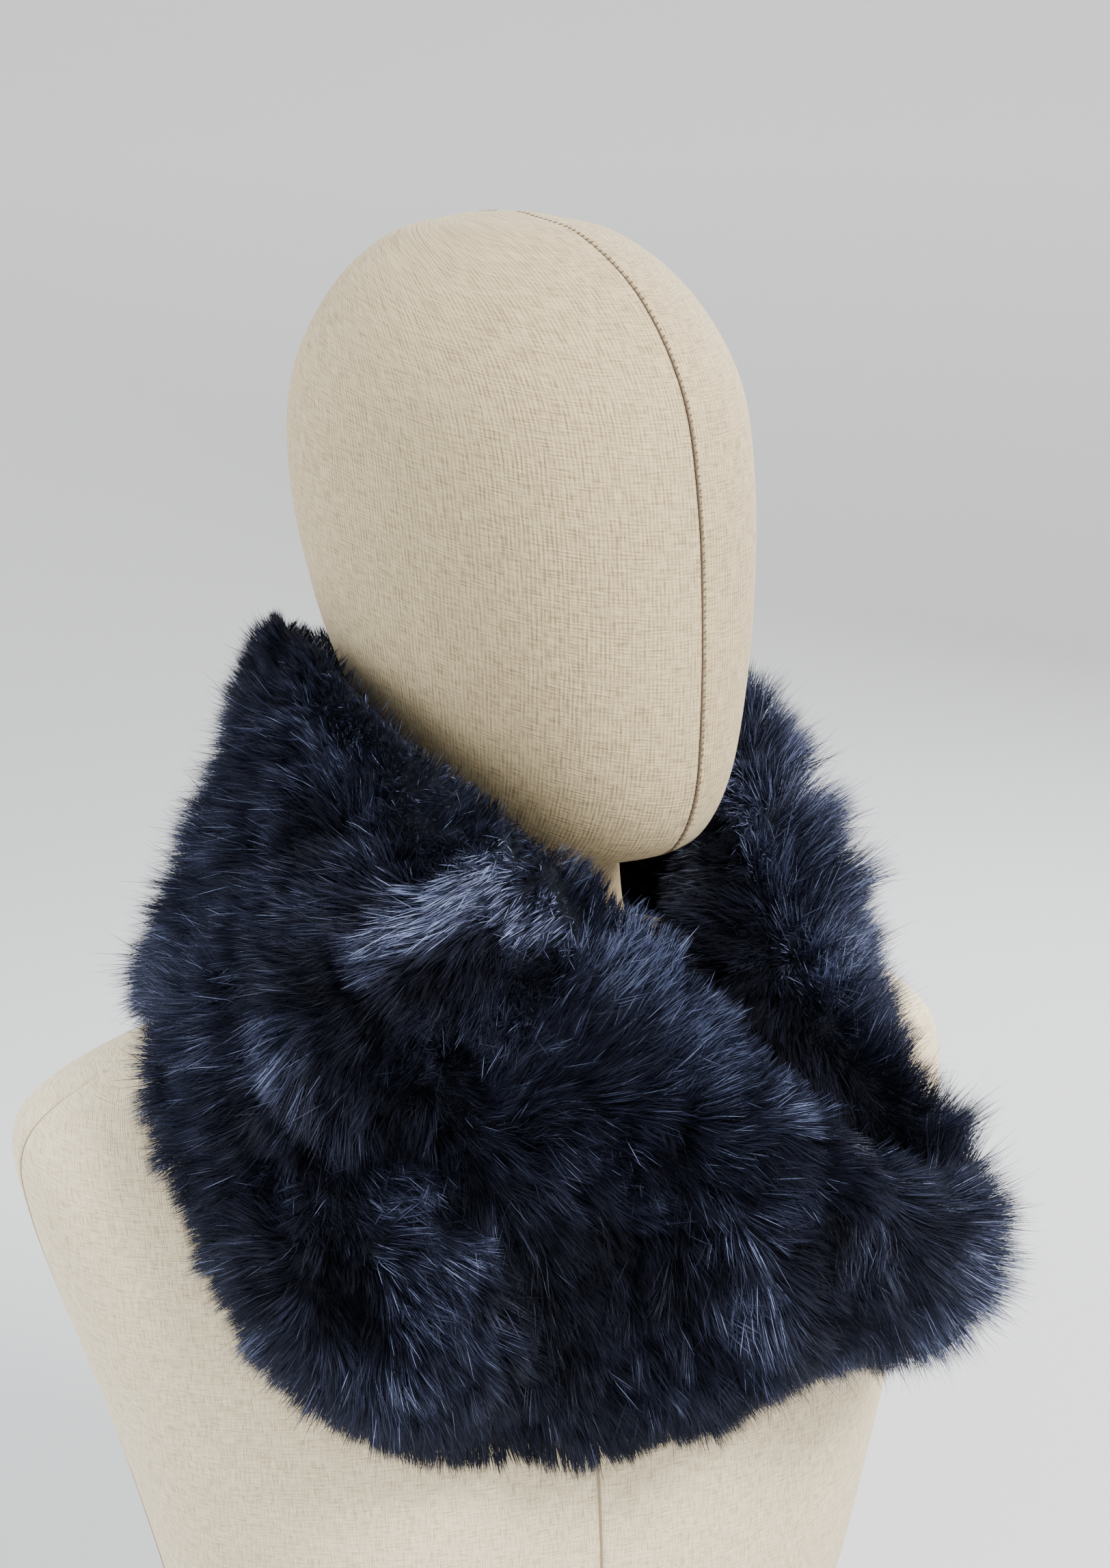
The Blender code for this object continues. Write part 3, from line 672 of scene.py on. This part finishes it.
def form_cover(name, table, steps, sides, seams, groove, finish):
    """A closed cover through the table's levels, with sewn seams pressed into it along columns."""
    rows = level_rows(table)
    turns = ring_turns(sides, seams)
    levels = [smooth_rows(rows[1:], (len(rows) - 2) * step / (steps - 1)) for step in range(steps)]
    levels = [rows[0]] + levels
    grid = np.array([level_points(level, turns) for level in levels])
    width, depth = groove
    middle = grid.mean(axis=1, keepdims=True)
    for seam in seams:
        column = int(np.argmin(np.abs(turns - seam % WHOLE_TURN)))
        away = np.linalg.norm(grid - grid[:, column : column + 1], axis=2)
        inward = unit(middle - grid)
        grid = grid + inward * (depth * np.exp(-((away / width) ** 2)))[:, :, None]
    count = len(turns)
    across = np.linalg.norm(np.roll(grid, -1, axis=1) - grid, axis=2)
    u = np.concatenate([np.zeros((steps + 1, 1)), np.cumsum(across, axis=1)], axis=1)
    down = np.linalg.norm(np.diff(grid, axis=0), axis=2)
    v = np.concatenate([np.zeros((1, count)), np.cumsum(down, axis=0)])
    v = np.concatenate([v, v[:, :1]], axis=1)
    corners, uv = [], []
    for step in range(steps):
        for side in range(count):
            far = side + 1
            for level, place in ((step, side), (step, far), (step + 1, far), (step + 1, side)):
                corners.append(level * count + place % count)
                # Threads run beside the front seam, so they are counted from it both ways
                whole = u[level, -1] if turns[side] > math.pi - NO_GAP else 0.0
                uv.append((u[level, place] - whole, v[level, place]))
    points = grid.reshape(-1, 3)
    counts = [4] * (steps * count)
    foot, crown = len(points), len(points) + 1
    points = np.concatenate([points, [grid[0].mean(axis=0)], [grid[-1].mean(axis=0)]])
    for side in range(count):
        far = (side + 1) % count
        corners += [foot, far, side, crown, steps * count + side, steps * count + far]
        uv += [(p[0], p[1]) for p in points[corners[-6:]]]
        counts += [3, 3]
    return new_mesh(name, points, corners, np.array(counts), finish, "Weave", uv)


# ---- the fur's strands ----


class Cloth:
    """The seam surface, read at any section and share of the way down."""

    def __init__(self, grid):
        self.points = finer(grid, ROOT_FINE)
        self.normals = grid_normals(self.points)
        around = unit(np.roll(self.points, -1, axis=0) - np.roll(self.points, 1, axis=0))
        level = unit(around * np.array([1.0, 1.0, LEVEL_SLOPE]))
        off = np.sum(level * self.normals, axis=2, keepdims=True)
        self.level = unit(level - self.normals * off)
        self.up = unit(np.cross(self.normals, self.level))
        self.down = unit(np.gradient(self.points, axis=1))
        first, second = self.points[:, :-1], np.roll(self.points, -1, axis=0)[:, :-1]
        third = self.points[:, 1:]
        self.areas = np.linalg.norm(np.cross(second - first, third - first), axis=2)
        self.area = float(self.areas.sum())

    @staticmethod
    def read(grid, around, down):
        """A grid's values at fractional places of it."""
        a0, d0 = np.floor(around).astype(int), np.minimum(down.astype(int), grid.shape[1] - 2)
        fa, fd = (around - a0)[:, None], (down - d0)[:, None]
        a0, a1 = a0 % grid.shape[0], (a0 + 1) % grid.shape[0]
        return (
            grid[a0, d0] * (1 - fa) * (1 - fd)
            + grid[a1, d0] * fa * (1 - fd)
            + grid[a0, d0 + 1] * (1 - fa) * fd
            + grid[a1, d0 + 1] * fa * fd
        )

    def scatter(self, count):
        """Places spread evenly over the surface, as grid places."""
        edges = np.cumsum(self.areas.ravel())
        at = (np.arange(count) + rng.random(count)) / count * edges[-1]
        cell = np.minimum(np.searchsorted(edges, at), len(edges) - 1)
        around, down = np.divmod(cell, self.areas.shape[1])
        return around + rng.random(count), down + rng.random(count)

    def frame_at(self, around, down, side):
        """Roots and the outward, level and up directions there. side is 1 for the outer panel."""
        roots = self.read(self.points, around, down)
        out = unit(self.read(self.normals, around, down)) * side
        level = unit(self.read(self.level, around, down))
        up = unit(self.read(self.up, around, down))
        below = unit(self.read(self.down, around, down))
        share = down / (self.points.shape[1] - 1)
        # At the rim and the hem the pile turns over the edge
        rim = np.clip(1.0 - share / TURNED_SHARE, 0.0, 1.0)
        hem = np.clip(1.0 - (1.0 - share) / TURNED_SHARE, 0.0, 1.0)
        out = unit(out - below * (rim * RIM_TURNED)[:, None] + below * (hem * HEM_TURNED)[:, None])
        roots = roots + out * (SHELL_GAP + SHELL_THICKNESS * ROOT_SUNK)
        return roots, out, level, up


def combed(cloth, table, side, seen):
    """The combing table's heading, lean, length and tone at places in the pile."""
    rows = np.array(table, float)
    around = rows[:, 0] / len(SECTIONS) * cloth.points.shape[0] % cloth.points.shape[0]
    down = rows[:, 1] / 100.0 * (cloth.points.shape[1] - 1)
    outward = cloth.read(cloth.normals, around, down)
    anchors = cloth.read(cloth.points, around, down) + outward * (side * PILE_SEEN)
    heading, lean = np.radians(rows[:, 2]), np.radians(rows[:, 3])
    length, tone = rows[:, 4] / 1000.0, rows[:, 5] / 100.0
    values = np.stack([np.cos(heading), np.sin(heading), lean, length, tone], axis=1)
    found = np.empty((len(seen), 5))
    for start in range(0, len(seen), COMB_BATCH):
        piece = slice(start, start + COMB_BATCH)
        squared = ((seen[piece, None, :] - anchors[None]) ** 2).sum(axis=2)
        weights = 1.0 / (squared + COMB_REACH**2) ** COMB_FALL
        found[piece] = weights @ values / weights.sum(axis=1, keepdims=True)
    # Where the headings part, the pile stands up instead of lying down both ways
    agreed = np.clip(np.hypot(found[:, 0], found[:, 1]), 0.0, 1.0)
    lean = found[:, 2] * (PARTED_LEAN + (1.0 - PARTED_LEAN) * agreed)
    return np.arctan2(found[:, 1], found[:, 0]), lean, found[:, 3], found[:, 4]


def along_and_out(out, level, up, heading, lean):
    """Directions that lean from straight out towards the heading."""
    along = level * np.cos(heading)[:, None] + up * np.sin(heading)[:, None]
    return out * np.cos(lean)[:, None] + along * np.sin(lean)[:, None]


def strand_lines(roots, out, level, up, heading, lean, length):
    """The points of each strand, from its root to its tip."""
    lines = [roots]
    steps = np.diff(STRAND_LEVELS)
    for step, share in zip(steps, (STRAND_LEVELS[:-1] + STRAND_LEVELS[1:]) / 2.0):
        ahead = along_and_out(out, level, up, heading, lean + BEND * (share - BEND_PIVOT))
        ahead = unit(ahead + np.array([0.0, 0.0, -1.0]) * (DROOP * share))
        lines.append(lines[-1] + ahead * (length * step)[:, None])
    return np.stack(lines, axis=1)


def nearest_of(places, centres):
    tree = KDTree(len(centres))
    for number, centre in enumerate(centres):
        tree.insert(centre, number)
    tree.balance()
    return np.array([tree.find(place)[1] for place in places])


def grown(cloth, table, side, count):
    """Strands of one panel: their lines, tones, outward directions at the roots and grid places."""
    spots = cloth.scatter(count)
    roots, out, level, up = cloth.frame_at(*spots, side)
    heading, lean, length, _ = combed(cloth, table, side, roots + out * PILE_SEEN)
    ahead = along_and_out(out, level, up, heading, lean)
    seen = roots + ahead * (SEEN_ALONG * length)[:, None]
    heading, lean, length, _ = combed(cloth, table, side, seen)
    share = spots[1] / (cloth.points.shape[1] - 1)
    near_rim = np.clip(share / EDGE_SHARE, 0.0, 1.0)
    near_hem = np.clip((1.0 - share) / HEM_SHARE, 0.0, 1.0)
    length = length * (EDGE_LENGTH + (1.0 - EDGE_LENGTH) * near_rim)
    length = length * (HEM_LENGTH + (1.0 - HEM_LENGTH) * near_hem)

    order = np.clip((lean - UNRULY) / (ORDERLY - UNRULY), 0.0, 1.0)
    unrest = UNRULY_TURN + (ORDERLY_TURN - UNRULY_TURN) * order
    groups = []
    for spacing, turn, tilt in (
        (LOCK_SPACING, LOCK_TURN, LOCK_LEAN),
        (TUFT_SPACING, TUFT_TURN, TUFT_LEAN),
    ):
        number = int(cloth.area / spacing**2)
        centres = cloth.frame_at(*cloth.scatter(number), side)[0]
        own_turn, own_tilt = rng.normal(0.0, turn, number), rng.normal(0.0, tilt, number)
        nearest = nearest_of(roots, centres)
        groups.append((nearest, number, rng.normal(0.0, 1.0, number)[nearest]))
        heading = heading + own_turn[nearest] * unrest
        lean = lean + own_tilt[nearest] * unrest
    lock_luck, tuft_luck = groups[0][2], groups[1][2]
    stray = rng.random(count) < STRAY_SHARE
    turn, tilt = np.where(stray, STRAY_TURN, STRAND_TURN), np.where(stray, STRAY_LEAN, STRAND_LEAN)
    heading = heading + rng.normal(0.0, 1.0, count) * turn * unrest
    lean = lean + rng.normal(0.0, 1.0, count) * tilt - STRAY_RISE * stray
    lean = np.clip(lean, LEAST_LEAN, MOST_LEAN)
    length = length * (1.0 + LENGTH_SPREAD * rng.normal(0.0, 1.0, count))
    length = length * np.where(stray, STRAY_LENGTH, 1.0)
    length = length * np.clip(1.0 + LOCK_LENGTH * lock_luck, SHORTEST_LOCK, LONGEST_LOCK)
    lines = strand_lines(roots, out, level, up, heading, lean, length)

    # The tips of a lock, and of each tuft in it, gather towards its own middle
    for (nearest, number, _), gather in zip(groups, (LOCK_GATHER, TUFT_GATHER)):
        sums = np.zeros((number, len(STRAND_LEVELS), 3))
        np.add.at(sums, nearest, lines)
        middle = sums / np.maximum(np.bincount(nearest, minlength=number), 1)[:, None, None]
        pull = gather * STRAND_LEVELS**GATHER_CURVE
        pull = pull[None, :, None] * np.where(stray, STRAY_GATHER, 1.0)[:, None, None]
        lines = lines + (middle[nearest] - lines) * pull
    seen = lines[:, 1] * TONE_AT_MIDDLE + lines[:, 2] * TONE_AT_TIP
    tone = combed(cloth, table, side, seen)[3]
    tone = (tone + LOCK_TONE * lock_luck) * (1.0 + TUFT_TONE * tuft_luck)
    tone = tone * (TONE_FLOOR + rng.random(count) ** TONE_CURVE)
    tone = tone + TONE_SPREAD * rng.normal(0.0, 1.0, count)
    # Painted highlights: a few strands are made much paler as glints
    tone = np.where(rng.random(count) < GLINT_SHARE, tone * GLINT_GAIN + GLINT_LIFT, tone)
    return lines, np.clip(tone, DARKEST, PALEST), out, spots


def off_the_form(lines, tree):
    """The strands with their points lifted off the form where they would sink into it."""
    for level in range(1, lines.shape[1]):
        for number in range(len(lines)):
            nearest, normal, _, gap = tree.find_nearest(lines[number, level], FORM_REACH)
            if nearest is None:
                continue
            height = (Vector(lines[number, level]) - nearest).dot(normal)
            if height < LOWEST_GAP:
                lines[number, level] = nearest + normal * LOWEST_GAP
    return lines


def strand_mesh(name, lines, tones, out, finish, width):
    """Strands as ribbons, pointed at the root and the tip, each facing out as it happens to."""
    count = len(lines)
    facing = out + rng.normal(0.0, FACING_SPREAD, (count, 3))
    aside = unit(np.cross(lines[:, 2] - lines[:, 0], facing))
    half = aside * (width / 2.0 * (WIDTH_LEAST + WIDTH_SPREAD * rng.random((count, 1))))
    points = np.stack([lines[:, 0], lines[:, 1] - half, lines[:, 1] + half, lines[:, 2]], axis=1)
    pattern = np.array([0, 2, 1, 1, 2, 3])
    corners = (np.arange(count)[:, None] * 4 + pattern).ravel()
    counts = np.full(2 * count, 3)
    u = tones[:, None] + np.array([0, 1, -1, -1, 1, 0]) * STRAND_ON_MAP
    v = np.broadcast_to(STRAND_LEVELS[np.array([0, 1, 1, 1, 1, 2])], u.shape)
    uv = np.stack([u, v * 0.98 + 0.01], axis=-1).reshape(-1, 2)  # just inside the map
    return new_mesh(name, points.reshape(-1, 3), corners, counts, finish, "OFBake", uv)


def shell(name, grid, side, finish):
    """One panel's backing: a thin closed ring beside the seam surface."""
    normals = grid_normals(grid) * side
    back = grid + normals * SHELL_GAP
    front = grid + normals * (SHELL_GAP + SHELL_THICKNESS)
    ring = np.concatenate([back, front[:, ::-1]], axis=1)
    around, count = ring.shape[:2]
    here = np.arange(around)[:, None] * count + np.arange(count)
    there = np.roll(here, -1, axis=0)
    faces = np.stack([here, there, np.roll(there, -1, axis=1), np.roll(here, -1, axis=1)], axis=-1)
    if side > 0:
        faces = faces[..., ::-1]
    faces = faces.reshape(-1, 4)
    return new_mesh(name, ring.reshape(-1, 3), faces.ravel(), np.full(len(faces), 4), finish)


# ---- the gaiter ----

forms = [surface_tree("form_torso"), surface_tree("form_head")]
coarse = folded(pushed_clear(seam_grid(), forms, SEAM_CLEARANCE), FOLDS)
coarse = pushed_clear(relaxed(coarse), forms, SEAM_CLEARANCE)
creased = pushed_clear(folded(finer(coarse, SHELL_FINE), CREASES), forms, CREASE_CLEARANCE)
cloth = Cloth(creased)
print("seam surface", round(cloth.area, 4), "square metres")

backing = backing_material()
outer_fur = fur_material(
    "navy_faux_fur",
    darkest=(0.0065, 0.0068, 0.0096),
    middle=(0.0195, 0.0212, 0.041),
    pale=(0.052, 0.060, 0.120),
    palest=(0.36, 0.425, 0.72),
    roughness=0.42,
)
# Painted shade: the inner pile is the same fur, coloured far darker than the outer as the shade
# inside the loop
inner_fur = fur_material(
    "navy_faux_fur_inner_painted_shade",
    darkest=(0.0024, 0.0028, 0.0045),
    middle=(0.0040, 0.0048, 0.0085),
    pale=(0.010, 0.012, 0.021),
    palest=(0.12, 0.14, 0.19),
    roughness=0.55,
)

outer_shell = shell("gaiter_outer_cloth", creased, 1.0, backing)
inner_shell = shell("gaiter_inner_cloth", creased, -1.0, backing)
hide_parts("fur_outer_panel")
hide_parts("fur_inner_panel")

OUTER_PARTS = (
    # name, first and last section
    ("outer_fur_front", -1.2, 1.9),
    ("outer_fur_corner", 1.9, 5.6),
    ("outer_fur_left", 5.6, 9.8),
    ("outer_fur_back", 9.8, 13.2),
    ("outer_fur_right", 13.2, 16.8),
)
lines, tones, out, spots = grown(cloth, COMBING, 1.0, OUTER_STRANDS)
sections = spots[0] / cloth.points.shape[0] * len(SECTIONS)
outer_pieces = []
for name, first, last in OUTER_PARTS:
    chosen = ((sections - first) % len(SECTIONS)) < last - first
    own = off_the_form(lines[chosen], forms[0])
    piece = strand_mesh(name, own, tones[chosen], out[chosen], outer_fur, STRAND_WIDTH)
    print(name, len(own), "strands")
    outer_pieces.append(piece)

lines, tones, out, _ = grown(cloth, INNER_COMBING, -1.0, INNER_STRANDS)
inner_piece = strand_mesh("inner_fur_pile", lines, tones, out, inner_fur, INNER_WIDTH)

# ---- the dress form ----

torso_linen = linen_material(
    "torso_linen",
    pitch_across=0.0009,
    pitch_down=0.0009,
    pale=(0.98, 0.835, 0.575),
    dark=(0.60, 0.475, 0.29),
    rib=0.5,
    slubby=0.9,
)
head_linen = linen_material(
    "head_linen",
    pitch_across=0.0016,
    pitch_down=0.0012,
    pale=(0.575, 0.455, 0.265),
    dark=(0.26, 0.195, 0.105),
    rib=0.75,
    slubby=0.4,
)
TORSO_SEAMS, HEAD_SEAMS = tuple(np.radians((0.0, 84.0, 180.0, 276.0))), (0.0, math.pi)
torso_cover = form_cover(
    "linen_torso",
    TORSO,
    steps=84,
    sides=120,
    seams=TORSO_SEAMS,
    groove=(0.0010, 0.0012),
    finish=torso_linen,
)
head_cover = form_cover(
    "linen_head",
    HEAD,
    steps=96,
    sides=96,
    seams=HEAD_SEAMS,
    groove=(0.0009, 0.0012),
    finish=head_linen,
)
turn = Matrix.Translation((0.0, NECK_BACK, 0.0)) @ Matrix.Rotation(HEAD_TURN, 4, "Z")
turn = turn @ Matrix.Translation((0.0, -NECK_BACK, 0.0))
head_cover.data.transform(turn)
for cover, node in ((torso_cover, "form_torso"), (head_cover, "form_head")):
    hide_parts(node)


def thread(name, centres, radius, finish):
    """A thin closed tube along the points."""
    curve = bpy.data.curves.new(name, "CURVE")
    curve.dimensions = "3D"
    curve.bevel_depth = radius
    curve.bevel_resolution = 1
    curve.use_fill_caps = True
    for run in centres:
        line = curve.splines.new("POLY")
        line.points.add(len(run) - 1)
        for point, place in zip(line.points, run):
            point.co = (*place, 1.0)
    curve.materials.append(finish)
    return placed(name, curve)


def seam_path(table, seam):
    """The line of a sewn seam, from the cover's foot to its top."""
    rows, turns = level_rows(table[1:]), np.array([seam])
    places = [(len(rows) - 1) * step / (SEAM_POINTS - 1) for step in range(SEAM_POINTS)]
    return np.array([level_points(smooth_rows(rows, place), turns)[0] for place in places])


def sunk(path):
    return path + unit(path.mean(axis=0) - path) * SEAM_SUNK


def travelled_point(path, travelled, at):
    return np.array([np.interp(at, travelled, path[:, k]) for k in range(3)])


def about(value, spread):
    """The value, at random up to this share of it more or less."""
    return value * (1.0 - spread + 2.0 * spread * rng.random())


SEAM_POINTS, SEAM_SUNK = 400, 0.0009
STITCH_PITCH, STITCH_HALF, STITCH_AHEAD, STITCH_SLANT = 0.0026, 0.0011, 0.0006, 0.6
FIRST_STITCH, LAST_STITCH = 0.012, 0.004  # from the seam's foot and from its top
thread_finish = plain_material("brown_thread", (0.09, 0.06, 0.035), 0.8)
stitches, seam_lines = [], []
for seam in HEAD_SEAMS:
    path = np.array([turn @ Vector(point) for point in seam_path(HEAD, seam)])
    seam_lines.append(sunk(path))
    steps = np.linalg.norm(np.diff(path, axis=0), axis=1)
    travelled = np.concatenate([[0.0], np.cumsum(steps)])
    aside = np.array(turn.to_3x3() @ Vector((1.0, 0.0, 0.0)))
    at = FIRST_STITCH
    while at < travelled[-1] - LAST_STITCH:
        here = travelled_point(path, travelled, at)
        ahead = travelled_point(path, travelled, at + STITCH_AHEAD) - here
        half, slant = aside * about(STITCH_HALF, 0.2), ahead * STITCH_SLANT
        stitches.append([here - half - slant, here + half + slant])
        at += about(STITCH_PITCH, 0.15)
head_stitches = thread("head_seam_stitches", stitches, radius=0.00022, finish=thread_finish)
# Painted shade: dark tubes sunk along the seams stand for the shade in their grooves
seam_shadow = plain_material("seam_shadow", (0.10, 0.07, 0.045), 0.9)
head_seam = thread("head_seam_painted_shade", seam_lines, radius=0.00045, finish=seam_shadow)
seam_lines = [sunk(seam_path(TORSO, seam)[::4]) for seam in TORSO_SEAMS]
seam_shadow = plain_material("torso_seam_shadow", (0.36, 0.29, 0.19), 0.9)
torso_seams = thread("torso_seam_painted_shade", seam_lines, radius=0.0004, finish=seam_shadow)

form_pieces = [torso_cover, head_cover, head_stitches, head_seam, torso_seams]
for piece in outer_pieces + [inner_piece, outer_shell, inner_shell] + form_pieces:
    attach(piece, "root")

# ---- floor, lights and camera ----

# A floor that curves up into a wall all round: radii and heights
FLAT, SWEEP_RADIUS, WALL, FLOOR_DROP, SWEEP_SIDES = 1.2, 2.2, 3.4, 0.0005, 96
SWEEP = [(FLAT / 2.0, 0.0), (FLAT, 0.0)]
SWEEP += [
    (FLAT + SWEEP_RADIUS * math.sin(angle), SWEEP_RADIUS - SWEEP_RADIUS * math.cos(angle))
    for angle in np.radians(np.arange(6, 91, 6))
]
SWEEP += [(WALL, 3.0), (WALL, 3.8)]
points, faces = [(0.0, 0.0, -FLOOR_DROP)], []
for radius, height in SWEEP:
    for side in range(SWEEP_SIDES):
        angle = WHOLE_TURN * side / SWEEP_SIDES
        points.append((radius * math.cos(angle), radius * math.sin(angle), height - FLOOR_DROP))
for side in range(SWEEP_SIDES):
    far = (side + 1) % SWEEP_SIDES
    faces.append((0, 1 + side, 1 + far))
    for ring in range(len(SWEEP) - 1):
        low, high = 1 + ring * SWEEP_SIDES, 1 + (ring + 1) * SWEEP_SIDES
        faces.append((low + side, high + side, high + far, low + far))
mesh = bpy.data.meshes.new("floor")
mesh.from_pydata(points, [], faces)
mesh.polygons.foreach_set("use_smooth", [True] * len(faces))
mesh.materials.append(floor_material())
floor = placed("floor", mesh)

LIGHTS = (
    # name, place, size, power, colour
    ("key", (0.8, -1.0, 1.7), 0.6, 74, (1.0, 0.98, 0.95)),
    ("fill", (-1.6, -1.2, 1.1), 1.4, 21, (0.92, 0.96, 1.0)),
    ("rim", (1.1, 0.9, 1.1), 0.6, 34, (0.9, 0.95, 1.0)),
    ("back", (-1.2, 0.9, 1.2), 0.6, 30, (0.9, 0.95, 1.0)),
)
for name, place, size, power, colour in LIGHTS:
    light = bpy.data.lights.new(name, "AREA")
    light.size, light.energy, light.color = size, power, colour
    lamp = placed(name, light)
    lamp.location = place
    lamp.rotation_euler = (CAMERA_AIM - lamp.location).to_track_quat("-Z", "Y").to_euler()

WORLD_COLOUR, WORLD_STRENGTH = (0.64, 0.645, 0.65, 1.0), 0.98
world = bpy.data.worlds.new("soft_studio")
world.use_nodes = True
sky = world.node_tree.nodes["Background"].inputs
sky["Color"].default_value = WORLD_COLOUR
sky["Strength"].default_value = WORLD_STRENGTH
bpy.context.scene.world = world

lens = bpy.data.cameras.new("camera")
lens.lens, lens.sensor_width = CAMERA_LENS, CAMERA_SENSOR
camera = placed("camera", lens)
level_share = math.cos(CAMERA_ELEVATION)
toward = Vector(
    (
        math.sin(CAMERA_AZIMUTH) * level_share,
        -math.cos(CAMERA_AZIMUTH) * level_share,
        math.sin(CAMERA_ELEVATION),
    )
)
camera.location = CAMERA_AIM + toward * CAMERA_DISTANCE
camera.rotation_euler = (-toward).to_track_quat("-Z", "Y").to_euler()
bpy.context.scene.camera = camera

bpy.context.view_layer.update()
